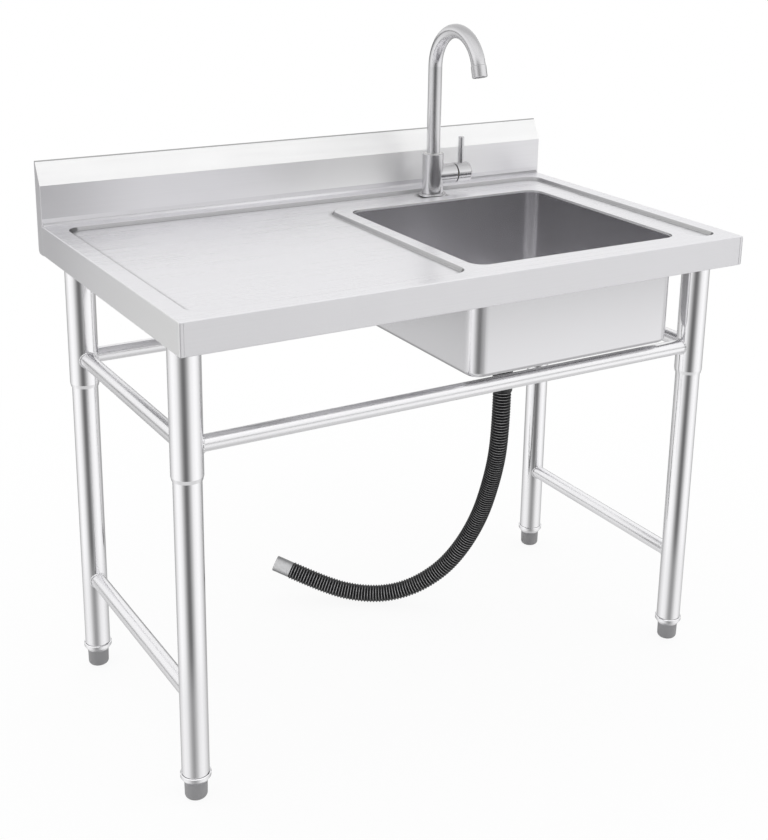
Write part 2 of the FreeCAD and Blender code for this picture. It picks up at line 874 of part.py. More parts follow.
def make_basket():
    foot = flange_top - basket_depth
    inside = basket_radius - basket_wall
    knob_foot = foot + basket_wall + knob_stem_height
    knob_top = knob_foot + knob_height
    profile = [
        (0, foot), (basket_radius, foot), (basket_radius, flange_top), (basket_lip_radius, flange_top),
        (basket_lip_radius, flange_top + basket_wall), (inside, flange_top + basket_wall),
        (inside, foot + basket_wall), (knob_stem_radius, foot + basket_wall), (knob_stem_radius, knob_foot),
        (knob_radius - knob_edge, knob_foot), (knob_radius, knob_foot + knob_edge),
        (knob_radius, knob_top - knob_edge), (knob_radius - knob_edge, knob_top), (0, knob_top),
    ]
    basket = turned(profile, at(basin_x, basin_y, 0))
    centre = at(basin_x, basin_y, foot)
    shares = basket_ring_radius_shares
    tools = []
    for share, count in zip(shares, basket_ring_counts):
        for index in range(count):
            angle = 2 * math.pi * index / count
            place = centre + at(math.cos(angle), math.sin(angle), 0) * (inside * share)
            tools.append(rod(basket_hole_radius, basket_wall, place))
    return basket.cut(tools)


class Route:
    """Straight runs joined by tangent arcs that are as large as the runs allow."""

    def __init__(self, points):
        self.points = [at(*point) for point in points]
        self.pieces = []
        self.radii = []
        cursor = self.points[0]
        for before, here, after in zip(self.points, self.points[1:], self.points[2:]):
            back = (before - here).normalize()
            ahead = (after - here).normalize()
            shorter = min((before - here).Length, (after - here).Length)
            reach = shorter * arc_reach_share
            half_angle = back.getAngle(ahead) / 2
            radius = reach * math.tan(half_angle)
            start = here + back * reach
            self.add_line(cursor, start)
            sweep = radius * (math.pi - 2 * half_angle)
            self.pieces.append(("arc", start, sweep, (back * -1, ahead, radius)))
            self.radii.append(radius)
            cursor = here + ahead * reach
        self.add_line(cursor, self.points[-1])
        self.length = sum(piece[2] for piece in self.pieces)

    def add_line(self, start, end):
        along = end - start
        self.pieces.append(("line", start, along.Length, along.normalize()))

    def place(self, distance):
        """Point and direction at a distance along the route."""
        left = distance
        for kind, start, length, shape in self.pieces:
            if left <= length or (kind, start) == self.pieces[-1][:2]:
                break
            left -= length
        if kind == "line":
            return start + shape * left, shape
        forward, ahead, radius = shape
        inward = (ahead - forward * forward.dot(ahead)).normalize()
        angle = left / radius
        point = start + forward * (radius * math.sin(angle)) + inward * (radius * (1 - math.cos(angle)))
        return point, forward * math.cos(angle) + inward * math.sin(angle)


def hose_points():
    fall = hose_top - hose_rest_height
    return [(basin_x + x, basin_y + y, hose_rest_height + fall * share)
            for (x, y), share in zip(hose_places, hose_height_shares)]


route = Route(hose_points())


def hose_ring(distance, radius):
    """Circle round the route whose X axis stays close to one side."""
    point, along = route.place(distance)
    side = (hose_side - along * hose_side.dot(along)).normalize()
    circle = Part.Circle(point, along, radius)
    circle.XAxis = side
    return Part.Wire(circle.toShape())


def make_hose():
    """Corrugated hose with its bore, ruled through rings along the route."""
    ribs = int((route.length - 2 * hose_end_run) / hose_rib_pitch)
    ribs_start = (route.length - ribs * hose_rib_pitch) / 2
    outer = [hose_ring(0, hose_root_radius)]
    inner = [hose_ring(0, hose_bore)]
    for index in range(ribs):
        start = ribs_start + index * hose_rib_pitch
        rise = start + hose_flank
        fall = rise + hose_crest
        outer.append(hose_ring(start, hose_root_radius))
        outer.append(hose_ring(rise, hose_crest_radius))
        outer.append(hose_ring(fall, hose_crest_radius))
        outer.append(hose_ring(fall + hose_flank, hose_root_radius))
        inner.append(hose_ring(start, hose_bore))
    outer.append(hose_ring(route.length, hose_root_radius))
    inner.append(hose_ring(route.length, hose_bore))
    hose = Part.makeLoft(outer, True, True).cut(Part.makeLoft(inner, True, True))
    crest_width = hose_crest + hose_flank
    root_area = math.pi * (hose_root_radius ** 2 - hose_bore ** 2)
    rib_area = math.pi * (hose_crest_radius ** 2 - hose_root_radius ** 2)
    print("hose: length %.1f, ribs %d, least radius %.1f" % (route.length, ribs, min(route.radii)))
    print("hose radii:", [round(radius) for radius in route.radii])
    print("hose volume %.0f, section times length %.0f"
          % (hose.Volume, root_area * route.length + rib_area * crest_width * ribs))
    return hose


def make_top_cuff():
    place = at(basin_x, basin_y, hose_top)
    cuff = rod(cuff_radius, cuff_length, place)
    cuff = round_edges(cuff, cuff_edge, level_edge(hose_top))
    cuff = cuff.cut(rod(hose_bore, cuff_length, place))
    hole_radius = spigot_radius + thread_clearance
    hole_depth = hose_top + cuff_length - spigot_foot
    return cuff.cut(rod(hole_radius, hole_depth, at(basin_x, basin_y, spigot_foot)))


def make_hose_clamp():
    foot = cup_foot - cuff_top_gap - clamp_drop - clamp_band
    inner = cuff_radius + thread_clearance
    outer = inner + clamp_thickness
    band = rod(outer, clamp_band, at(basin_x, basin_y, foot))
    half = clamp_box_width / 2
    box_back = basin_y + outer + clamp_box_height
    box = block(at(basin_x - half, basin_y, foot), at(basin_x + half, box_back, foot + clamp_band))
    screw_y = box_back - clamp_box_height / 2
    screw_start = at(basin_x - clamp_screw_length / 2, screw_y, foot + clamp_band / 2)
    screw = rod(clamp_screw_radius, clamp_screw_length, screw_start, RIGHT)
    return band.fuse([box, screw]).cut(rod(inner, clamp_band, at(basin_x, basin_y, foot)))


def make_end_cuff():
    point, along = route.place(route.length)
    cuff = tube(end_cuff_radius, hose_bore, end_cuff_length, point, along)
    rims = [edge for edge in cuff.Edges if edge.Closed and edge.Length > 2 * math.pi * hose_root_radius]
    return cuff.makeFillet(cuff_edge, rims)


nodes = {
    "worktop": make_worktop(),
    "backsplash": make_backsplash(),
    "splash_end_panels": make_splash_ends(),
    "basin": make_basin(),
    "drainboard_stiffener": make_stiffener(),
}
plates = []
screws = []
channels = []
collars = []
for side, leg_side in leg_sides.items():
    channels.append(make_leg_channel(leg_side))
    for row, leg_row in leg_rows.items():
        corner = row + "_" + side
        nodes[corner + "_leg_socket"] = make_socket(leg_side, leg_row)
        nodes[corner + "_leg"] = make_leg(leg_side, leg_row)
        collars.append(make_leg_collar(leg_side, leg_row))
        nodes[corner + "_foot"] = make_foot(leg_side, leg_row)
        nodes[corner + "_foot_stud"] = make_foot_stud(leg_side, leg_row)
        plates.append(make_plate(leg_side, leg_row))
        screws += [make_screw(*place) for place in plate_screw_places(leg_side, leg_row)]
    post_front = (leg_side, leg_rows["front"])
    post_rear = (leg_side, leg_rows["rear"])
    nodes[side + "_upper_rail"] = make_rail(post_front, post_rear, rail_height, socket_radius)
    nodes[side + "_lower_stretcher"] = make_rail(post_front, post_rear, stretcher_height, leg_radius)
nodes["socket_top_plates"] = Part.makeCompound(plates)
nodes["plate_screws"] = Part.makeCompound(screws)
nodes["leg_channels"] = Part.makeCompound(channels)
nodes["leg_collars"] = Part.makeCompound(collars)
for row, leg_row in leg_rows.items():
    nodes[row + "_upper_rail"] = make_rail((-leg_x, leg_row), (leg_x, leg_row), rail_height, socket_radius)

nodes["tap_base_gasket"] = tap_ring(tap_gasket_radius, shank_radius + thread_clearance, floor_top,
                                    tap_gasket_thickness)
nodes["tap_base_ring"] = make_tap_base_ring()
nodes["tap_body"] = make_tap_body()
nodes["tap_shank"] = make_shank()
nodes["tap_clamp_washer"] = tap_ring(clamp_washer_radius, shank_radius + thread_clearance,
                                     floor_under - clamp_washer_thickness, clamp_washer_thickness)
nodes["tap_clamp_nut"] = make_clamp_nut()
nodes["spout"] = make_spout()
nodes["spout_bush"] = make_spout_bush()
nodes["spout_seals"] = make_spout_seals()
nodes["spout_retaining_screw"] = make_spout_retainer()
nodes["aerator_housing"] = make_aerator_housing()
nodes["aerator_core"] = make_aerator_core()
nodes["valve_cartridge"] = make_cartridge()
nodes["valve_gland_nut"] = make_gland_nut()
nodes["valve_stem"] = make_valve_stem()
nodes["lever_hub"] = make_lever_hub()
nodes["lever_rod"] = make_lever_rod()
nodes["lever_set_screw"] = make_hub_screw()
nodes["drain_cup"] = make_drain_cup()
nodes["drain_gaskets"] = make_drain_gaskets()
nodes["drain_lock_nut"] = make_drain_nut()
nodes["strainer_basket"] = make_basket()
nodes["hose_clamp"] = make_hose_clamp()
nodes["hose_top_cuff"] = make_top_cuff()
nodes["drain_hose"] = make_hose()
nodes["hose_end_cuff"] = make_end_cuff()

os.makedirs("parts", exist_ok=True)
for name, shape in nodes.items():
    if not shape.isValid():
        print("not valid:", name)
    shape.exportStep("parts/" + name + ".step")
print(len(nodes), "nodes")
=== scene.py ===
import json
import math

import bmesh
import bpy
from mathutils import Matrix, Vector


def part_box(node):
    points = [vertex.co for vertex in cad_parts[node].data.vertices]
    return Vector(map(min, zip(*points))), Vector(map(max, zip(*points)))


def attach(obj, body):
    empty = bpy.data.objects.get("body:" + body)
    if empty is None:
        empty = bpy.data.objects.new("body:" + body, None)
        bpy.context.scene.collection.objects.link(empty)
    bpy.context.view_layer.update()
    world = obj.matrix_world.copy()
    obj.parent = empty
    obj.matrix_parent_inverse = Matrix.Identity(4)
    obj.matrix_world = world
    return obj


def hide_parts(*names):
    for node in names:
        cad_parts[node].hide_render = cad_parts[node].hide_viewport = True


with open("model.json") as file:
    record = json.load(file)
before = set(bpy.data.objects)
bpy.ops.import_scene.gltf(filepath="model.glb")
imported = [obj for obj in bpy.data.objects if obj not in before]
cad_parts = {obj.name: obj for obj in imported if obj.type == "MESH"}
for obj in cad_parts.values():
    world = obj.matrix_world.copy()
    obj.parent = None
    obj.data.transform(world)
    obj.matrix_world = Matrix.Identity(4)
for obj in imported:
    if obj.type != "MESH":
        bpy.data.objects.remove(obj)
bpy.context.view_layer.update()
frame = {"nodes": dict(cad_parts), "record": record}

# Freestanding stainless kitchen sink: finishes, ribbed drain hose, weld beads and seams.
# Metres, in the frame of the part: X to the right, Y to the back, Z up.
# Limits are pairs: a soft step starts at the first value and ends at the second.
# Turns are parts of a unit direction, such as the Z of a face's normal.

# Camera, fitted to the straight edges of the sink in the photograph
CAMERA_PLACE = Vector((-1.15427, -1.92578, 1.33504))
CAMERA_YAW = math.radians(32.3823)
CAMERA_PITCH = math.radians(16.6766)
CAMERA_ROLL = math.radians(1.3429)
CAMERA_LENS = 59.965
CAMERA_SENSOR = 36.0
CAMERA_SHIFT = (-0.0491, -0.1494)

# Studio: light level near the horizon by the angle from the dark front of the room, in degrees
STUDIO_FRONT = Vector((-0.5, -0.866, 0.0)).normalized()
STUDIO_LEVELS = [(0, 0.155), (8, 0.195), (16, 0.3), (22, 0.41), (30, 0.58), (39, 0.77), (46, 0.92),
                 (56, 1.0), (70, 1.07), (84, 1.07), (99, 0.95), (110, 0.84), (123, 0.7), (132, 0.6),
                 (142, 0.44), (180, 0.38)]
HORIZON_DIP = 0.6
SKY_LEVEL = 1.06
HIGH_SKY_LEVEL = 1.25
BACKDROP_LEVEL = 1.0
GROUND_LEVEL = 0.72
DEEP_GROUND_LEVEL = 0.55

# Limits of the studio's levels: turns to its front, and heights as the Z of a unit direction
FRONT_TURNS = (0.45, 0.95)
BACKDROP_TURNS = (0.1, -0.5)
BACKDROP_HEIGHTS = (0.0, 0.15)
DIP_FOOT_HEIGHTS = (-0.14, -0.06)
DIP_TOP_HEIGHTS = (0.15, 0.02)
SIDE_SKY_HEIGHTS = (0.05, 0.36)
FRONT_SKY_HEIGHTS = (0.22, 0.58)
HIGH_SKY_HEIGHTS = (0.6, 0.85)
GROUND_HEIGHTS = (-0.56, -0.76)
DEEP_GROUND_HEIGHTS = (-0.8, -1.0)

# Floor
WHITE = (1.0, 1.0, 1.0, 1.0)
FLOOR_RADIUS = 6.0
FLOOR_SIDES = 96
FLOOR_COLOUR = (0.86, 0.86, 0.86, 1.0)
FLOOR_GLOW_LEVEL = 1.0
FLOOR_GLOW_REACH = (0.5, 1.6)
FLOOR_GLOW_SHARES = (0.91, 1.0)
FLOOR_MIRROR_LEVEL = 0.75
FLOOR_MIRROR_SHARE = 0.3
FLOOR_MIRROR_REACH = (0.3, 0.55)

# Grain of all steels, and the smears and scuffs of wear
GRAIN_DETAIL = 5.0
GRAIN_ROUGHNESS = 0.65
GRAIN_LIMITS = (0.25, 0.75)
GRAIN_HEIGHT = 0.0003
SMEAR_COUNTS = (7.0, 9.0, 8.0)
SMEAR_DETAIL = 3.0
WEAR_LIMITS = (0.3, 0.7)

# Steel colours, with the faint cool tint of the photograph
DECK_COLOUR = (0.84, 0.835, 0.855)
TUBE_COLOUR = (0.9, 0.896, 0.91)
BASIN_COLOUR = (0.6, 0.596, 0.61)
TAP_COLOUR = (0.77, 0.766, 0.78)
# Painted shade and painted light, mixed over the steels' own colours
PAINTED_SHADE_STEEL = (0.05, 0.05, 0.05, 1.0)
PAINTED_LIGHT_STEEL = (0.97, 0.97, 0.97, 1.0)

# Steels: roughness, and grains per metre along X, Y and Z, few of them along the brushing
DECK_ROUGHNESS = 0.3
DECK_GRAIN = (3.0, 420.0, 420.0)
DECK_END_GRAIN = (420.0, 3.0, 420.0)
BASIN_ROUGHNESS = 0.25
BASIN_GRAIN = (500.0, 500.0, 60.0)
TAP_ROUGHNESS = 0.22
TAP_GRAIN = (300.0, 300.0, 300.0)
TUBE_FINISHES = {
    "tube_upright": (0.15, (380.0, 380.0, 5.0)),
    "tube_across": (0.28, (5.0, 380.0, 380.0)),
    "tube_back": (0.28, (380.0, 5.0, 380.0)),
}
# Plain metals: colour, then roughness and grain as above
PLAIN_METALS = {
    "bracket_steel": ((0.55, 0.55, 0.56), 0.38, (240.0, 4.0, 240.0)),
    "fastener_steel": ((0.6, 0.6, 0.6), 0.3, (500.0, 500.0, 500.0)),
    "drain_steel": ((0.62, 0.62, 0.63), 0.25, (90.0, 90.0, 700.0)),
    "valve_brass": ((0.75, 0.55, 0.27), 0.28, (600.0, 600.0, 600.0)),
}

# Sheets of the deck: how they smear reflections, and which way their faces turn
ALONG_X = (1.0, 0.0, 0.0, 1.0)
ALONG_Y = (0.0, 1.0, 0.0, 1.0)
DECK_SMEAR = 0.75
SIDE_FACE_TURNS = (0.6, 0.8)
FRONT_FACE_TURNS = (-0.9, -0.97)
UPRIGHT_TURNS = (0.9, 0.7)
UPRIGHT_ROUGHNESS = 0.16
RIM_WIDTH = 0.012

# Painted shade on the pressed slopes and in the corners of the deck, as shares of the painted shade colour
PRESSED_TURN = 0.1
EDGE_TURNS = (0.04, 0.3)
EDGE_SHADE_SHARE = 0.85
SLOPE_TURNS = (0.97, 0.8)
SLOPE_SHADE_SHARE = 0.45
SHADE_REACH = 0.01
SHADE_SAMPLES = 8
SHADE_OPENNESS = (0.98, 0.82)
SHADE_SHARE = 0.62

# Painted light and shade of the deck: where painted light falls on the backsplash, as shares of half the
# width, and shares of painted shade
SLANT_TURNS = (0.15, 0.3)
SPLASH_RISE_SHARES = (0.4, 0.2)
SPLASH_FALL_SHARES = (0.9, 0.5)
SPLASH_END_START = 0.6
SPLASH_END_SHADE = 0.28
END_BACK_SHADE = 0.14
FRONT_FACE_SHADE = 0.06
HEM_SHADE = 0.6
HEM_HEIGHT = 0.0018

# Painted light and shade of the basin and the tap
BASIN_SHEET = 0.0012
BASIN_BACK_TURNS = (-0.5, -0.95)
BASIN_CORNER_TURNS = (0.2, 0.5)
BASIN_BACK_LIGHT_SHARE = 1.62
BASIN_OUTSIDE_LIGHT_SHARE = 1.24
BASIN_TOP_SHADE = 0.26
BASIN_FOLD_TURNS = (-0.1, -0.5)
BASIN_FOLD_SHADE = 0.5
TAP_TOP_TURNS = (0.1, 0.75)
TAP_TOP_SHADE_SHARE = 0.42

# Plastics and rubber: colour and roughness, and their common texture
PLASTICS = {
    "seal_rubber": ((0.025, 0.025, 0.026), 0.6),
    "bush_plastic": ((0.72, 0.72, 0.7), 0.45),
    "foot_plastic": ((0.3, 0.298, 0.306), 0.42),
    "drain_plastic": ((0.03, 0.03, 0.032), 0.4),
}
SPECKLE_COUNT = 900.0
SPECKLE_DETAIL = 2.0
SPECKLE_DEPTH = 0.08
SPECKLE_HEIGHT = 0.0002
SCUFF_COUNT = 45.0
SCUFF_CONTRAST = 0.12
SCUFF_SWING = 0.07

# Cuff and hose, with painted light that makes them paler towards the bright side of the studio, and
# painted highlights on the hose's crests
PAINTED_KEY_SIDE = Vector((-0.46, -0.78, 0.4)).normalized()
CUFF_COLOUR = (0.2, 0.2, 0.205)
CUFF_PAINTED_LIGHT = (0.82, 0.82, 0.83, 1.0)
CUFF_ROUGHNESS = 0.22
CUFF_LIT_TURNS = (0.5, 1.0)
HOSE_COLOUR = (0.003, 0.003, 0.004, 1.0)
HOSE_CREST_HIGHLIGHT = (0.75, 0.75, 0.76, 1.0)
HOSE_ROUGHNESS = (0.3, 0.42)
HOSE_SPECULAR = 0.26
HOSE_CREST_LIMITS = (0.88, 1.0)
HOSE_LIT_TURNS = (0.5, 0.98)
HOSE_UNLIT_SHARE = 0.12
HOSE_SCUFF_COUNT = 120.0
HOSE_SCUFF_SHARES = (0.6, 1.0)
HOSE_SPECKLE_COUNT = 1400.0
HOSE_SPECKLE_DEPTH = 0.05

# Drain hose
HOSE_ROUTE = [
    (0.200, -0.050, 0.471),
    (0.200, -0.050, 0.385),
    (0.210, -0.020, 0.295),
    (0.214, 0.029, 0.181),
    (0.182, 0.067, 0.090),
    (0.134, 0.098, 0.041),
    (0.083, 0.128, 0.019),
    (0.033, 0.162, 0.0168),
    (-0.014, 0.199, 0.028),
    (-0.067, 0.246, 0.054),
]
HOSE_LINE_STEPS = 32
HOSE_LINE_ORDER = 3
HOSE_CREST_RADIUS = 0.0164
HOSE_ROOT_RADIUS = 0.0146
HOSE_BORE = 0.0122
HOSE_RIB_PITCH = 0.0054
HOSE_SIDES = 36
# Height of the rib above the root along one pitch, both as shares
RIB_SHARES = [(0.0, 0.0), (0.12, 0.04), (0.2, 0.4), (0.27, 0.8), (0.34, 0.96), (0.42, 1.0),
              (0.5, 0.96), (0.57, 0.8), (0.64, 0.4), (0.72, 0.04)]

# Welds and seams
WELD_RADIUS = 0.0018
WELD_RIPPLE_SHARE = 0.12
WELD_RIPPLES = 22
WELD_STEPS = 132
WELD_SIDES = 10
STEEP_TURN = 0.9
CORNER_WELD_RADIUS = 0.0007
CORNER_WELD_STEPS = 24
CORNER_BEND = 0.0024
COVE_RADIUS = 0.005
COVE_STEPS = 8


def link(name, data):
    piece = bpy.data.objects.new(name, data)
    bpy.context.scene.collection.objects.link(piece)
    return piece


def mesh_piece(name, builder, smooth=True):
    """New object from a bmesh, with its normals turned outwards."""
    bmesh.ops.recalc_face_normals(builder, faces=builder.faces)
    mesh = bpy.data.meshes.new(name)
    builder.to_mesh(mesh)
    builder.free()
    for face in mesh.polygons:
        face.use_smooth = smooth
    return link(name, mesh)


def finish_piece(piece, material):
    piece.data.materials.append(material)
    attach(piece, "stand")
    return piece


# Camera
def make_camera():
    forward = Vector((math.sin(CAMERA_YAW) * math.cos(CAMERA_PITCH),
                      math.cos(CAMERA_YAW) * math.cos(CAMERA_PITCH),
                      -math.sin(CAMERA_PITCH)))
    right = Vector((math.cos(CAMERA_YAW), -math.sin(CAMERA_YAW), 0.0))
    up = right.cross(forward)
    rolled_right = right * math.cos(CAMERA_ROLL) + up * math.sin(CAMERA_ROLL)
    rolled_up = up * math.cos(CAMERA_ROLL) - right * math.sin(CAMERA_ROLL)
    data = bpy.data.cameras.new("camera")
    data.lens = CAMERA_LENS
    data.sensor_width = CAMERA_SENSOR
    data.shift_x, data.shift_y = CAMERA_SHIFT
    camera = link("camera", data)
    turn = Matrix((rolled_right, rolled_up, -forward)).transposed()
    camera.matrix_world = Matrix.Translation(CAMERA_PLACE) @ turn.to_4x4()
    bpy.context.scene.camera = camera


# Node helpers
class Nodes:
    """Short forms for adding and joining shader nodes."""

    def __init__(self, tree):
        self.tree = tree
        self.tree.nodes.clear()

    def add(self, kind, **inputs):
        node = self.tree.nodes.new("ShaderNode" + kind)
        self.feed(node, inputs)
        return node

    def feed(self, node, inputs):
        """Link or set inputs, named in words or as an underscore and a number."""
        for name, value in inputs.items():
            key = int(name[1:]) if name[0] == "_" else name.replace("_", " ")
            socket = node.inputs[key]
            if isinstance(value, bpy.types.NodeSocket):
                self.tree.links.new(value, socket)
            else:
                socket.default_value = value

    def normal(self):
        return self.add("NewGeometry").outputs["Normal"]

    def place(self):
        return self.add("TexCoord").outputs["Object"]

    def split(self, vector):
        return list(self.add("SeparateXYZ", Vector=vector).outputs)

    def vector(self, operation, first, second=(0.0, 0.0, 0.0)):
        node = self.add("VectorMath", _0=first, _1=second)
        node.operation = operation
        return node.outputs["Value" if operation in ("DOT_PRODUCT", "LENGTH") else "Vector"]

    def math(self, operation, first, second=0.0):
        node = self.add("Math", _0=first, _1=second)
        node.operation = operation
        return node.outputs[0]

    def product(self, first, *others):
        for other in others:
            first = self.math("MULTIPLY", first, other)
        return first

    def largest(self, first, *others):
        for other in others:
            first = self.math("MAXIMUM", first, other)
        return first

    def remap(self, value, limits, levels=(0.0, 1.0), smooth=True):
        """Step from one level to the other while the value runs between its limits."""
        node = self.add("MapRange")
        node.interpolation_type = "SMOOTHSTEP" if smooth else "LINEAR"
        self.feed(node, {"_0": value, "_1": limits[0], "_2": limits[1], "_3": levels[0], "_4": levels[1]})
        return node.outputs[0]

    def mix(self, factor, first, second):
        node = self.add("Mix", _0=factor, _2=first, _3=second)
        return node.outputs[0]

    def mix_colour(self, factor, first, second):
        node = self.add("Mix")
        node.data_type = "RGBA"
        self.feed(node, {"_0": factor, "_6": first, "_7": second})
        return node.outputs[2]

    def mix_shader(self, factor, first, second):
        return self.add("MixShader", _0=factor, _1=first.outputs[0], _2=second.outputs[0])

    def noise(self, counts, detail=4.0, rough=0.6):
        """Noise with so many waves per metre along X, Y and Z."""
        mapping = self.add("Mapping", Vector=self.place(), Scale=counts)
        node = self.add("TexNoise", Vector=mapping.outputs[0], Scale=1.0, Detail=detail, Roughness=rough)
        return node.outputs[0]

    def seen(self, path):
        """One for rays that come from the camera, straight or through something clear."""
        return self.largest(path.outputs["Is Camera Ray"], path.outputs["Is Transmission Ray"])


# Studio light
def room_level(nodes, facing):
    """Light level round the room, by the turn to its dark front."""
    ramp = nodes.add("ValToRGB", Fac=nodes.remap(facing, (-1.0, 1.0), smooth=False))
    stops = ramp.color_ramp.elements
    stops.remove(stops[1])
    places = sorted(((math.cos(math.radians(angle)) + 1) / 2, value) for angle, value in STUDIO_LEVELS)
    for index, (place, value) in enumerate(places):
        stop = stops[0] if index == 0 else stops.new(place)
        stop.position = place
        stop.color = (value, value, value, 1.0)
    ramp.color_ramp.interpolation = "EASE"
    return nodes.add("RGBToBW", Color=ramp.outputs[0]).outputs[0]


def make_world():
    world = bpy.data.worlds.new("studio")
    world.use_nodes = True
    bpy.context.scene.world = world
    nodes = Nodes(world.node_tree)
    x, y, height = nodes.split(nodes.add("TexCoord").outputs["Generated"])
    level = nodes.vector("NORMALIZE", nodes.add("CombineXYZ", X=x, Y=y).outputs[0])
    facing = nodes.vector("DOT_PRODUCT", level, STUDIO_FRONT)

    # Room with a dark band along the horizon
    dip = nodes.product(nodes.remap(height, DIP_FOOT_HEIGHTS), nodes.remap(height, DIP_TOP_HEIGHTS))
    band = nodes.remap(dip, (0.0, 1.0), (1.0, 1.0 - HORIZON_DIP), smooth=False)
    room = nodes.product(room_level(nodes, facing), band)

    # Ground below, and sky above, which starts higher in front
    ground_level = nodes.remap(height, DEEP_GROUND_HEIGHTS, (GROUND_LEVEL, DEEP_GROUND_LEVEL))
    lower = nodes.mix(nodes.remap(height, GROUND_HEIGHTS), room, ground_level)
    frontal = nodes.remap(facing, FRONT_TURNS)
    sky_heights = [nodes.mix(frontal, *ends) for ends in zip(SIDE_SKY_HEIGHTS, FRONT_SKY_HEIGHTS)]
    sky_level = nodes.remap(height, HIGH_SKY_HEIGHTS, (SKY_LEVEL, HIGH_SKY_LEVEL))
    shade = nodes.mix(nodes.remap(height, sky_heights), lower, sky_level)

    # Plain backdrop for the camera, and for steel that mirrors the back of the room
    path = nodes.add("LightPath")
    behind = nodes.product(nodes.remap(facing, BACKDROP_TURNS), nodes.remap(height, BACKDROP_HEIGHTS))
    mirrored = nodes.product(path.outputs["Is Glossy Ray"], behind)
    strength = nodes.mix(nodes.largest(nodes.seen(path), mirrored), shade, BACKDROP_LEVEL)
    background = nodes.add("Background", Color=WHITE, Strength=strength)
    nodes.add("OutputWorld", Surface=background.outputs[0])


def make_floor():
    builder = bmesh.new()
    bmesh.ops.create_circle(builder, cap_ends=True, segments=FLOOR_SIDES, radius=FLOOR_RADIUS)
    floor = mesh_piece("floor", builder, smooth=False)
    material = bpy.data.materials.new("floor")
    material.use_nodes = True
    nodes = Nodes(material.node_tree)
    path = nodes.add("LightPath")

    # White paper that fades into the backdrop for the camera
    far = nodes.remap(nodes.vector("LENGTH", nodes.place()), FLOOR_GLOW_REACH, FLOOR_GLOW_SHARES)
    paper = nodes.add("BsdfDiffuse", Color=FLOOR_COLOUR)
    glow = nodes.add("Emission", Color=WHITE, Strength=FLOOR_GLOW_LEVEL)
    shown = nodes.mix_shader(nodes.product(nodes.seen(path), far), paper, glow)

    # Steel mirrors it only close by
    near = nodes.remap(path.outputs["Ray Length"], FLOOR_MIRROR_REACH, (FLOOR_MIRROR_SHARE, 0.0))
    mirror_glow = nodes.add("Emission", Strength=FLOOR_MIRROR_LEVEL)
    mirror = nodes.mix_shader(near, nodes.add("BsdfTransparent"), mirror_glow)
    surface = nodes.mix_shader(path.outputs["Is Glossy Ray"], shown, mirror)
    nodes.add("OutputMaterial", Surface=surface.outputs[0])
    floor.data.materials.append(material)


# Materials
def new_material(name):
    material = bpy.data.materials.new(name)
    material.use_nodes = True
    nodes = Nodes(material.node_tree)
    shader = nodes.add("BsdfPrincipled")
    nodes.add("OutputMaterial", Surface=shader.outputs[0])
    return material, nodes, shader


def tint(colour, factor):
    return tuple(min(1.0, channel * factor) for channel in colour) + (1.0,)


def recolour(nodes, shader, share, colour):
    """Mix a colour over the base colour that the shader has so far."""
    plain = shader.inputs["Base Color"].links[0].from_socket
    nodes.feed(shader, {"Base_Color": nodes.mix_colour(share, plain, colour)})


def steel(name, colour, roughness, counts, end_counts=None, grain_depth=0.05, contrast=0.05, wear=0.03,
          swing=0.05):
    """Steel with grain that is noise drawn out along one direction, and another on its end faces."""
    material, nodes, shader = new_material(name)
    grain = nodes.noise(counts, detail=GRAIN_DETAIL, rough=GRAIN_ROUGHNESS)
    if end_counts:
        sideways = nodes.math("ABSOLUTE", nodes.split(nodes.normal())[0])
        end_grain = nodes.noise(end_counts, detail=GRAIN_DETAIL, rough=GRAIN_ROUGHNESS)
        grain = nodes.mix(nodes.remap(sideways, SIDE_FACE_TURNS), grain, end_grain)
    smear = nodes.noise(SMEAR_COUNTS, detail=SMEAR_DETAIL)
    shade = nodes.remap(grain, GRAIN_LIMITS, smooth=False)
    base = nodes.mix_colour(shade, tint(colour, 1.0 - contrast), tint(colour, 1.0 + contrast))
    rough = nodes.math("ADD", nodes.remap(grain, GRAIN_LIMITS, (-swing, swing)),
                       nodes.remap(smear, WEAR_LIMITS, (-wear, wear)))
    bump = nodes.add("Bump", Strength=grain_depth, Distance=GRAIN_HEIGHT, Height=grain)
    nodes.feed(shader, {"Base_Color": base, "Metallic": 1.0, "Normal": bump.outputs[0],
                        "Roughness": nodes.math("ADD", rough, roughness)})
    return material, nodes, shader


def pressed_shade_share(nodes, turns, place, low, high):
    """Share of painted shade on the slopes and in the corners that are pressed into the worktop inside its
    rim.
    """
    inwards = nodes.math("LESS_THAN", nodes.math("ABSOLUTE", place[0]), high.x - RIM_WIDTH)
    behind = nodes.math("GREATER_THAN", place[1], low.y + RIM_WIDTH)
    under = nodes.math("LESS_THAN", place[2], high.z)
    upper = nodes.math("GREATER_THAN", turns[2], PRESSED_TURN)
    edge = nodes.remap(nodes.largest(turns[0], turns[1]), EDGE_TURNS, (0.0, EDGE_SHADE_SHARE))
    slope = nodes.remap(turns[2], SLOPE_TURNS, (0.0, SLOPE_SHADE_SHARE))
    # Painted shade in the pressed corners, darker where they are more closed in
    corner = nodes.add("AmbientOcclusion", Distance=SHADE_REACH)
    corner.samples = SHADE_SAMPLES
    shade = nodes.remap(corner.outputs["AO"], SHADE_OPENNESS, (0.0, SHADE_SHARE))
    return nodes.product(inwards, behind, under, upper, nodes.largest(edge, slope, shade))


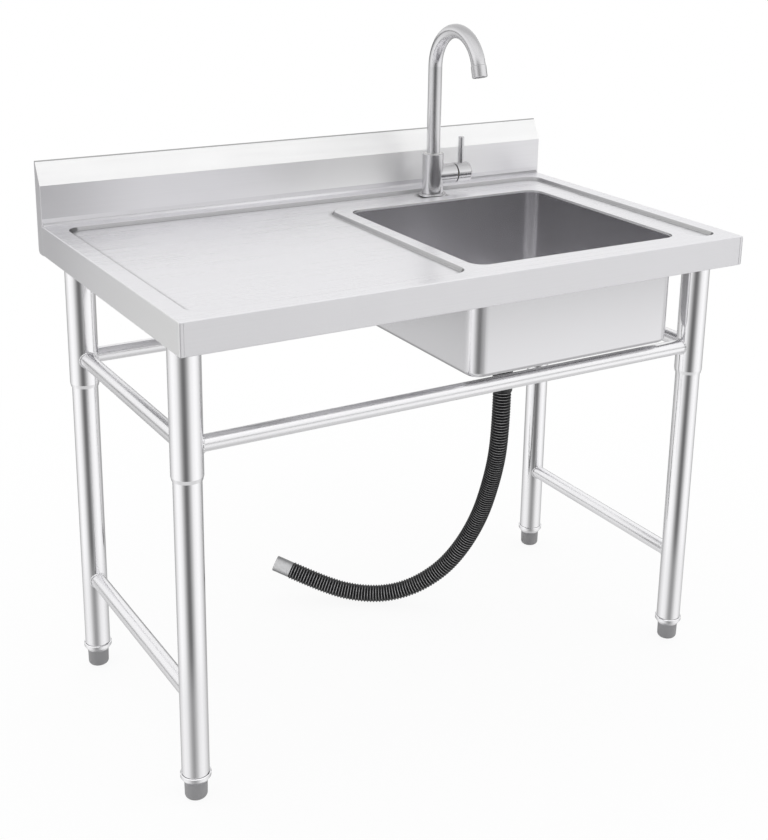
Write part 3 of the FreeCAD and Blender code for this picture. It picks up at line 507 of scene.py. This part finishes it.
def deck_steel():
    """Brushed sheet that smears reflections across its grain, with painted light and shade running over
    its faces.
    """
    material, nodes, shader = steel("deck_steel", DECK_COLOUR, DECK_ROUGHNESS, DECK_GRAIN,
                                    end_counts=DECK_END_GRAIN, contrast=0.025, wear=0.015)
    low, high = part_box("worktop")
    normal = nodes.normal()
    turns = nodes.split(normal)
    place = nodes.split(nodes.place())
    x, y, z = place
    sideways = nodes.remap(nodes.math("ABSOLUTE", turns[0]), SIDE_FACE_TURNS)
    forward = nodes.remap(turns[1], FRONT_FACE_TURNS)
    above = nodes.math("GREATER_THAN", z, high.z + RIM_WIDTH)
    splash = nodes.product(forward, above)

    # Reflections smeared across the grain, and rougher on upright faces
    grain = nodes.mix_colour(sideways, ALONG_X, ALONG_Y)
    upright = nodes.remap(nodes.math("ABSOLUTE", turns[2]), UPRIGHT_TURNS, (0.0, UPRIGHT_ROUGHNESS))
    rough = shader.inputs["Roughness"].links[0].from_socket
    nodes.feed(shader, {"Tangent": nodes.vector("CROSS_PRODUCT", normal, grain), "Anisotropic": DECK_SMEAR,
                        "Roughness": nodes.math("ADD", rough, upright)})

    # Painted light: brighter at the ends towards the front, on the slanted top and in the middle of the
    # backsplash
    ends = nodes.product(sideways, nodes.remap(y, (high.y, low.y)))
    slant = nodes.product(nodes.remap(turns[2], SLANT_TURNS), above)
    rise = nodes.remap(x, (low.x * SPLASH_RISE_SHARES[0], high.x * SPLASH_RISE_SHARES[1]))
    fall = nodes.remap(x, (high.x * SPLASH_FALL_SHARES[0], high.x * SPLASH_FALL_SHARES[1]))
    painted_lit = nodes.product(splash, nodes.product(rise, fall))
    recolour(nodes, shader, nodes.largest(ends, slant, painted_lit), PAINTED_LIGHT_STEEL)

    # Painted shade: darker on what is pressed, on the ends towards the back, on the backsplash's left end
    # and hem, and on the apron
    pressed_shade = pressed_shade_share(nodes, turns, place, low, high)
    end_back = nodes.product(sideways, nodes.remap(y, (0.0, high.y), (0.0, END_BACK_SHADE)))
    left_run = nodes.remap(x, (low.x * SPLASH_END_START, low.x), (0.0, SPLASH_END_SHADE))
    splash_end = nodes.product(splash, left_run)
    hem_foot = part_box("backsplash")[1].z - HEM_HEIGHT
    hem = nodes.product(nodes.math("GREATER_THAN", z, hem_foot), HEM_SHADE)
    apron = nodes.product(forward, nodes.math("SUBTRACT", 1.0, above), FRONT_FACE_SHADE)
    recolour(nodes, shader, nodes.largest(pressed_shade, end_back, splash_end, hem, apron), PAINTED_SHADE_STEEL)
    return material


def basin_steel():
    """Satin drawn steel with painted light and shade: brighter on the outside of the bowl than on the
    inside, paler on the back wall and in the corners inside, darker towards the top outside.
    """
    material, nodes, shader = steel("basin_steel", BASIN_COLOUR, BASIN_ROUGHNESS, BASIN_GRAIN,
                                    grain_depth=0.002, contrast=0.008, wear=0.01, swing=0.006)
    low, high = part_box("basin")
    half_width = (high.x - low.x) / 2
    half_height = (high.z - low.z) / 2
    x, y, z = nodes.split(nodes.vector("SUBTRACT", nodes.place(), (low + high) / 2))
    turns = nodes.split(nodes.normal())

    # Inside: painted light on the back wall and painted highlights in the corners, both paler
    back = nodes.product(nodes.remap(turns[1], BASIN_BACK_TURNS), nodes.math("GREATER_THAN", y, 0.0))
    corner = nodes.math("MINIMUM", nodes.math("ABSOLUTE", turns[0]), nodes.math("ABSOLUTE", turns[1]))
    painted_light = nodes.largest(back, nodes.remap(corner, BASIN_CORNER_TURNS))
    recolour(nodes, shader, painted_light, tint(BASIN_COLOUR, BASIN_BACK_LIGHT_SHARE))

    # Outside: painted light, brighter than the inside, then painted shade, darker up to the top and in the
    # fold to the floor
    reach = nodes.largest(nodes.math("ABSOLUTE", x), nodes.math("ABSOLUTE", y))
    outside = nodes.remap(reach, (half_width - BASIN_SHEET, half_width), smooth=False)
    recolour(nodes, shader, outside, tint(BASIN_COLOUR, BASIN_OUTSIDE_LIGHT_SHARE))
    rise = nodes.remap(z, (-half_height, half_height), (0.0, BASIN_TOP_SHADE))
    fold = nodes.remap(turns[2], BASIN_FOLD_TURNS, (0.0, BASIN_FOLD_SHADE))
    recolour(nodes, shader, nodes.product(outside, nodes.largest(rise, fold)), PAINTED_SHADE_STEEL)
    return material


def tap_steel():
    """Satin turned steel, with painted shade where it faces up."""
    material, nodes, shader = steel("tap_steel", TAP_COLOUR, TAP_ROUGHNESS, TAP_GRAIN,
                                    grain_depth=0.004, contrast=0.01, wear=0.01, swing=0.01)
    # Painted shade on the faces that turn up
    painted_top_shade = nodes.remap(nodes.split(nodes.normal())[2], TAP_TOP_TURNS, (0.0, TAP_TOP_SHADE_SHARE))
    recolour(nodes, shader, painted_top_shade, PAINTED_SHADE_STEEL)
    return material


def painted_light_side(nodes, turns):
    """Share of painted key light, by which a face turns to the bright side of the studio."""
    return nodes.remap(nodes.vector("DOT_PRODUCT", nodes.normal(), PAINTED_KEY_SIDE), turns)


def speckle(nodes, count, depth):
    """Normal of a fine moulded texture."""
    fine = nodes.noise((count, count, count), detail=SPECKLE_DETAIL)
    return nodes.add("Bump", Strength=depth, Distance=SPECKLE_HEIGHT, Height=fine).outputs[0]


def moulded(name, colour, roughness):
    """Moulded plastic or rubber with a fine texture and slight scuffing."""
    material, nodes, shader = new_material(name)
    scuff = nodes.noise((SCUFF_COUNT, SCUFF_COUNT, SCUFF_COUNT))
    base = nodes.mix_colour(scuff, tint(colour, 1.0 - SCUFF_CONTRAST), tint(colour, 1.0 + SCUFF_CONTRAST))
    rough = nodes.remap(scuff, WEAR_LIMITS, (roughness - SCUFF_SWING, roughness + SCUFF_SWING))
    nodes.feed(shader, {"Base_Color": base, "Roughness": rough,
                        "Normal": speckle(nodes, SPECKLE_COUNT, SPECKLE_DEPTH)})
    return material, nodes, shader


def cuff_plastic():
    """Grey moulded plastic with painted light, paler towards the bright side of the studio."""
    material, nodes, shader = moulded("cuff_plastic", CUFF_COLOUR, CUFF_ROUGHNESS)
    recolour(nodes, shader, painted_light_side(nodes, CUFF_LIT_TURNS), CUFF_PAINTED_LIGHT)
    return material


def hose_plastic():
    """Black ribbed plastic with painted highlights on its crests, uneven with scuffing and strongest
    towards the bright side of the studio.
    """
    material, nodes, shader = new_material("hose_plastic")
    crest = nodes.add("Attribute")
    crest.attribute_name = "crest"
    scuff = nodes.noise((HOSE_SCUFF_COUNT, HOSE_SCUFF_COUNT, HOSE_SCUFF_COUNT))
    # Painted crest highlights, uneven with the scuff noise, stronger where the painted key light falls
    wear = nodes.product(nodes.remap(crest.outputs["Fac"], HOSE_CREST_LIMITS),
                         nodes.remap(scuff, WEAR_LIMITS, HOSE_SCUFF_SHARES))
    painted_lit = nodes.mix(painted_light_side(nodes, HOSE_LIT_TURNS), HOSE_UNLIT_SHARE, 1.0)
    base = nodes.mix_colour(nodes.product(wear, painted_lit), HOSE_COLOUR, HOSE_CREST_HIGHLIGHT)
    rough = nodes.remap(scuff, WEAR_LIMITS, HOSE_ROUGHNESS)
    nodes.feed(shader, {"Base_Color": base, "Roughness": rough, "Specular_IOR_Level": HOSE_SPECULAR,
                        "Normal": speckle(nodes, HOSE_SPECKLE_COUNT, HOSE_SPECKLE_DEPTH)})
    return material


def make_materials():
    materials = {name: steel(name, TUBE_COLOUR, *values, grain_depth=0.012, contrast=0.02)[0]
                 for name, values in TUBE_FINISHES.items()}
    materials.update({name: steel(name, *values)[0] for name, values in PLAIN_METALS.items()})
    materials.update({name: moulded(name, *values)[0] for name, values in PLASTICS.items()})
    materials["cuff_plastic"] = cuff_plastic()
    materials["deck_steel"] = deck_steel()
    materials["basin_steel"] = basin_steel()
    materials["tap_steel"] = tap_steel()
    materials["hose_plastic"] = hose_plastic()
    return materials


def tube_material(node):
    """Tube finish whose grain runs along the tube."""
    if node.startswith(("front_upper", "rear_upper")):
        return "tube_across"
    if node.endswith(("rail", "stretcher")):
        return "tube_back"
    return "tube_upright"


def dress_nodes(materials):
    for subpart in frame["record"]["subparts"]:
        node = subpart["node"]
        finish = subpart["material_slot"]
        if finish == "tube_steel":
            finish = tube_material(node)
        for slot in frame["nodes"][node].material_slots:
            slot.material = materials[finish]


# Drain hose
def smooth_line(route):
    """Points along the NURBS line that the route's points control."""
    curve = bpy.data.curves.new("hose_line", "CURVE")
    curve.dimensions = "3D"
    curve.resolution_u = HOSE_LINE_STEPS
    spline = curve.splines.new("NURBS")
    spline.points.add(len(route) - 1)
    for control, place in zip(spline.points, route):
        control.co = (*place, 1.0)
    spline.order_u = HOSE_LINE_ORDER
    spline.use_endpoint_u = True
    holder = link("hose_line", curve)
    mesh = bpy.data.meshes.new_from_object(holder)
    points = [vertex.co.copy() for vertex in mesh.vertices]
    bpy.data.meshes.remove(mesh)
    bpy.data.objects.remove(holder)
    bpy.data.curves.remove(curve)
    return points


class Line:
    """Points and directions at distances along a row of points."""

    def __init__(self, points):
        self.points = points
        self.marks = [0.0]
        for before, after in zip(points, points[1:]):
            self.marks.append(self.marks[-1] + (after - before).length)
        self.length = self.marks[-1]

    def place(self, distance):
        index = 1
        while index < len(self.marks) - 1 and self.marks[index] < distance:
            index += 1
        span = self.marks[index] - self.marks[index - 1]
        share = (distance - self.marks[index - 1]) / span
        return self.points[index - 1].lerp(self.points[index], share)

    def direction(self, distance):
        """Direction over one rib to either side, which evens out the corners of the row."""
        start = self.place(max(0.0, distance - HOSE_RIB_PITCH))
        end = self.place(min(self.length, distance + HOSE_RIB_PITCH))
        return (end - start).normalized()


def ring(builder, centre, side, along, radius, sides):
    across = along.cross(side)
    corners = []
    for index in range(sides):
        angle = 2 * math.pi * index / sides
        outwards = side * math.cos(angle) + across * math.sin(angle)
        corners.append(builder.verts.new(centre + outwards * radius))
    return corners


def skin(builder, rings, closed=False):
    pairs = list(zip(rings, rings[1:]))
    if closed:
        pairs.append((rings[-1], rings[0]))
    for first, second in pairs:
        for index in range(len(first)):
            after = (index + 1) % len(first)
            builder.faces.new((first[index], first[after], second[after], second[index]))


def make_hose(material):
    points = smooth_line(HOSE_ROUTE)
    line = Line(points)
    ribs = int(line.length / HOSE_RIB_PITCH)
    pitch = line.length / ribs
    stations = []
    for rib in range(ribs):
        for share, height in RIB_SHARES:
            stations.append(((rib + share) * pitch, height))
    stations.append((line.length, 0.0))
    builder = bmesh.new()
    crest = builder.verts.layers.float.new("crest")
    side = Vector((1.0, 0.0, 0.0))
    outer = []
    inner = []
    for distance, height in stations:
        along = line.direction(distance)
        side = (side - along * side.dot(along)).normalized()
        radius = HOSE_ROOT_RADIUS + (HOSE_CREST_RADIUS - HOSE_ROOT_RADIUS) * height
        corners = ring(builder, line.place(distance), side, along, radius, HOSE_SIDES)
        for corner in corners:
            corner[crest] = height
        outer.append(corners)
        if height == 0.0:
            inner.append(ring(builder, line.place(distance), side, along, HOSE_BORE, HOSE_SIDES))
    skin(builder, outer + inner[::-1], closed=True)
    hose = finish_piece(mesh_piece("ribbed_drain_hose", builder), material)
    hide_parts("drain_hose")


# Welds and seams
def bead(builder, path, radius_at, closed):
    """Tube along a path, with its radius given for each point."""
    count = len(path)
    rings = []
    for index, point in enumerate(path):
        before = path[index - 1] if closed or index else point
        after = path[(index + 1) % count] if closed or index < count - 1 else point
        along = (after - before).normalized()
        guide = Vector((0.0, 0.0, 1.0)) if abs(along.z) < STEEP_TURN else Vector((1.0, 0.0, 0.0))
        side = guide.cross(along).normalized()
        rings.append(ring(builder, point, side, along, radius_at(index), WELD_SIDES))
    skin(builder, rings, closed)
    if not closed:
        builder.faces.new(rings[0])
        builder.faces.new(rings[-1])


def rail_weld_path(post, along, height, rail_radius, post_radius):
    """Saddle line where a round rail meets a round post."""
    across = Vector((-along.y, along.x, 0.0))
    path = []
    for index in range(WELD_STEPS):
        angle = 2 * math.pi * index / WELD_STEPS
        offset = rail_radius * math.cos(angle)
        reach = math.sqrt(post_radius ** 2 - offset ** 2)
        centre = Vector((post.x, post.y, height + rail_radius * math.sin(angle)))
        path.append(centre + along * reach + across * offset)
    return path


def rippled_radius(index):
    angle = 2 * math.pi * WELD_RIPPLES * index / WELD_STEPS
    return WELD_RADIUS * (1 + WELD_RIPPLE_SHARE * math.sin(angle))


def make_rail_welds(material):
    """Rippled bead round both ends of each rail and stretcher."""
    builder = bmesh.new()
    for node in frame["nodes"]:
        if not node.endswith(("_upper_rail", "_lower_stretcher")):
            continue
        low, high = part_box(node)
        rail_radius = (high.z - low.z) / 2
        height = (high.z + low.z) / 2
        part = "_leg_socket" if node.endswith("rail") else "_leg"
        where = node.split("_")[0]
        if high.x - low.x > high.y - low.y:
            corners = [(where + "_left", Vector((1, 0, 0))), (where + "_right", Vector((-1, 0, 0)))]
        else:
            corners = [("front_" + where, Vector((0, 1, 0))), ("rear_" + where, Vector((0, -1, 0)))]
        for corner, along in corners:
            post_low, post_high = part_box(corner + part)
            post = (post_low + post_high) / 2
            post_radius = (post_high.x - post_low.x) / 2
            path = rail_weld_path(post, along, height, rail_radius, post_radius)
            bead(builder, path, rippled_radius, closed=True)
    finish_piece(mesh_piece("rail_welds", builder), material)


def make_corner_welds(material):
    """Ground weld down each front corner of the apron."""
    low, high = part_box("worktop")
    inset = CORNER_BEND * (1 - math.sqrt(0.5))
    builder = bmesh.new()
    for x in (low.x + inset, high.x - inset):
        foot = Vector((x, low.y + inset, low.z + CORNER_BEND))
        top = Vector((x, low.y + inset, high.z - CORNER_BEND))
        path = [foot.lerp(top, index / CORNER_WELD_STEPS) for index in range(CORNER_WELD_STEPS + 1)]
        bead(builder, path, lambda index: CORNER_WELD_RADIUS, closed=False)
    finish_piece(mesh_piece("apron_corner_welds", builder), material)


def make_splash_cove(material):
    """Rounded fold where the deck turns up into the backsplash."""
    deck_low, deck_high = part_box("worktop")
    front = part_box("backsplash")[0].y
    outline = [(front, deck_high.z)]
    for index in range(COVE_STEPS + 1):
        angle = math.pi / 2 * index / COVE_STEPS
        outline.append((front - COVE_RADIUS + COVE_RADIUS * math.sin(angle),
                        deck_high.z + COVE_RADIUS - COVE_RADIUS * math.cos(angle)))
    builder = bmesh.new()
    rings = []
    for x in (deck_low.x + CORNER_BEND, deck_high.x - CORNER_BEND):
        rings.append([builder.verts.new((x, y, z)) for y, z in outline])
    skin(builder, rings)
    for end in rings:
        builder.faces.new(end)
    finish_piece(mesh_piece("splash_cove", builder), material)


bpy.context.scene.view_settings.view_transform = "Standard"
make_camera()
make_world()
make_floor()
finishes = make_materials()
dress_nodes(finishes)
make_hose(finishes["hose_plastic"])
make_rail_welds(finishes["tube_upright"])
make_corner_welds(finishes["deck_steel"])
make_splash_cove(finishes["deck_steel"])
